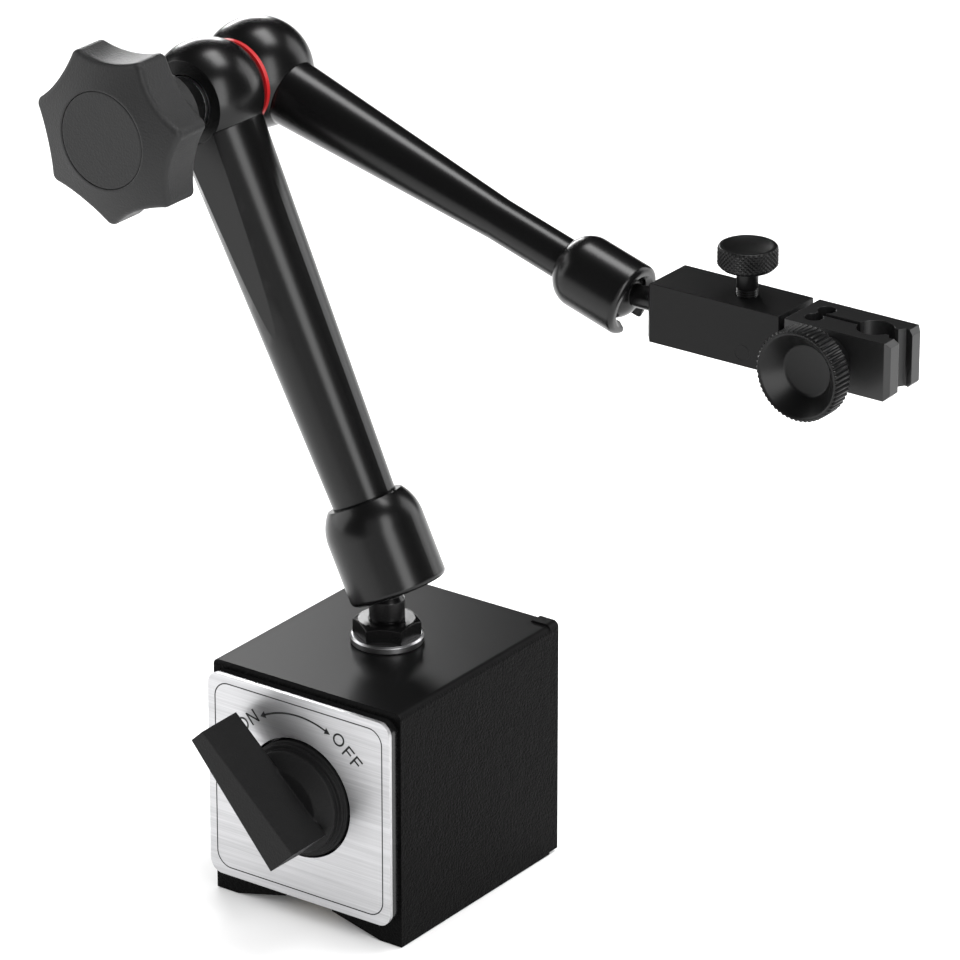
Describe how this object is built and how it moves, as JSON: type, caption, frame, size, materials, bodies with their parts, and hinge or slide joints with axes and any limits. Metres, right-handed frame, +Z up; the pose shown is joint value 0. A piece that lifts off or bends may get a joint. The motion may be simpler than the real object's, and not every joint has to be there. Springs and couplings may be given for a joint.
{
  "type": "magnetic base indicator holder",
  "caption": "Switchable magnetic base with an articulated arm, one-knob elbow lock, fine-adjust block and 8 mm indicator clamp.",
  "frame": {"origin": "middle of the V groove between the pole faces, on the plane the poles rest on", "axes": "+Z up, +X to the right of the switch side, the switch faces -Y"},
  "size_m": [0.1844, 0.0763, 0.1885],
  "materials": {
    "satin_top": "satin dark grey paint",
    "wrinkle_paint": "fine wrinkle black paint",
    "black_gloss": "semi-gloss black oxide",
    "black_oxide": "satin black anodised",
    "brushed_plate": "brushed, clear lacquered",
    "bright_steel": "turned and plated",
    "knob_plastic": "fine-textured black",
    "friction_red": "red fibre washer",
    "brass": "machined",
    "magnet": "ferrite grey",
    "spring_steel": "spring wire"
  },
  "bodies": {
    "base": {"pole_left": "wrinkle_paint", "pole_right": "wrinkle_paint", "upper_spacer": "satin_top", "lower_spacer": "brass", "rear_cap": "wrinkle_paint", "front_frame": "black_gloss", "face_plate": "brushed_plate", "front_bush": "brass", "rear_bush": "brass", "stud_washer": "bright_steel", "stud_lock_nut": "black_oxide"},
    "switch": {"switch_shaft": "bright_steel", "switch_knob": "knob_plastic", "switch_pin": "bright_steel", "rotor_magnet": "magnet", "rotor_shoe_left": "bright_steel", "rotor_shoe_right": "bright_steel"},
    "stud": {"lower_ball_stud": "black_oxide"},
    "lower_socket": {"lower_collar": "black_gloss"},
    "lower_arm": {"lower_tube": "black_gloss", "lower_elbow_hub": "black_gloss"},
    "lower_rod": {"lower_push_rod": "bright_steel", "lower_ball_seat": "brass"},
    "upper_arm": {"upper_elbow_hub": "black_gloss", "upper_tube": "black_gloss", "friction_washer": "friction_red", "tie_bolt": "black_oxide", "upper_wedge": "bright_steel"},
    "upper_rod": {"upper_push_rod": "bright_steel", "upper_ball_seat": "brass"},
    "thrust": {"thrust_washer": "black_oxide", "lower_wedge": "bright_steel"},
    "knob": {"star_knob": "knob_plastic", "knob_cap": "knob_plastic", "knob_insert": "brass"},
    "upper_socket": {"upper_collar": "black_gloss"},
    "head_stud": {"upper_ball_stud": "bright_steel"},
    "head_block": {"fine_adjust_block": "black_oxide", "pivot_pin": "black_oxide", "return_spring": "spring_steel"},
    "pad": {"swivel_pad": "brass"},
    "thumb": {"thumb_screw": "black_oxide"},
    "clamp": {"clamp_body": "black_oxide"},
    "wheel": {"clamp_wheel": "black_oxide", "clamp_screw": "black_oxide"}
  },
  "joints": [
    {"name": "switch_turn", "type": "hinge", "parent": "base", "child": "switch", "pos_m": [0, 0, 0.0298], "axis": [0, 1, 0], "range_deg": [0, 90]},
    {"name": "lower_swivel", "type": "hinge", "parent": "base", "child": "stud", "pos_m": [0, 0, 0.0748], "axis": [0, 0, 1], "continuous": true},
    {"name": "lower_tilt", "type": "hinge", "parent": "stud", "child": "lower_socket", "pos_m": [0, 0, 0.0748], "axis": [0, 1, 0], "range_deg": [-2, 54]},
    {"name": "lower_spin", "type": "hinge", "parent": "lower_socket", "child": "lower_arm", "pos_m": [0, 0, 0.0748], "axis": [-0.4384, 0, 0.8988], "continuous": true},
    {"name": "lower_rod_slide", "type": "slide", "parent": "lower_arm", "child": "lower_rod", "axis": [0.4384, 0, -0.8988], "range_m": [-0.0003125, 0]},
    {"name": "elbow_fold", "type": "hinge", "parent": "lower_arm", "child": "upper_arm", "pos_m": [-0.04673, 0.0087, 0.17061], "axis": [0, 1, 0], "range_deg": [-150, 20]},
    {"name": "thrust_slide", "type": "slide", "parent": "upper_arm", "child": "thrust", "axis": [0, 1, 0], "range_m": [-0.0003125, 0]},
    {"name": "elbow_knob", "type": "hinge", "parent": "thrust", "child": "knob", "pos_m": [-0.04673, -0.02, 0.17061], "axis": [0, 1, 0], "range_deg": [-90, 0]},
    {"name": "upper_rod_slide", "type": "slide", "parent": "upper_arm", "child": "upper_rod", "axis": [0.9553, 0, -0.2957], "range_m": [-0.0003125, 0]},
    {"name": "upper_spin", "type": "hinge", "parent": "upper_arm", "child": "upper_socket", "pos_m": [0.04679, 0.0174, 0.14166], "axis": [0.9553, 0, -0.2957], "continuous": true},
    {"name": "head_tilt", "type": "hinge", "parent": "upper_socket", "child": "head_stud", "pos_m": [0.04679, 0.0174, 0.14166], "axis": [0, 1, 0], "range_deg": [-10, 44]},
    {"name": "head_roll", "type": "hinge", "parent": "head_stud", "child": "head_block", "pos_m": [0.04679, 0.0174, 0.14166], "axis": [1, 0, 0], "continuous": true},
    {"name": "screw_feed", "type": "slide", "parent": "head_block", "child": "pad", "axis": [0, 0, 1], "range_m": [-0.00022916, 0.00022916]},
    {"name": "thumb_turn", "type": "hinge", "parent": "pad", "child": "thumb", "pos_m": [0.08, 0.0174, 0.15], "axis": [0, 0, 1], "range_deg": [-165, 165]},
    {"name": "clamp_tilt", "type": "hinge", "parent": "head_block", "child": "clamp", "pos_m": [0.0833, 0.0174, 0.13816], "axis": [0, 1, 0], "range_deg": [-3.98, 3.98]},
    {"name": "clamp_wheel_turn", "type": "hinge", "parent": "clamp", "child": "wheel", "pos_m": [0.105, 0, 0.1423], "axis": [0, 1, 0], "continuous": true}
  ],
  "couplings": [
    {"joint": "elbow_knob", "follows": "thrust_slide", "rad_per_m": 5026.5},
    {"joint": "lower_rod_slide", "follows": "thrust_slide", "ratio": 1},
    {"joint": "upper_rod_slide", "follows": "thrust_slide", "ratio": 1},
    {"joint": "thumb_turn", "follows": "screw_feed", "rad_per_m": 12566},
    {"joint": "clamp_tilt", "follows": "screw_feed", "rad_per_m": 303.03}
  ]
}
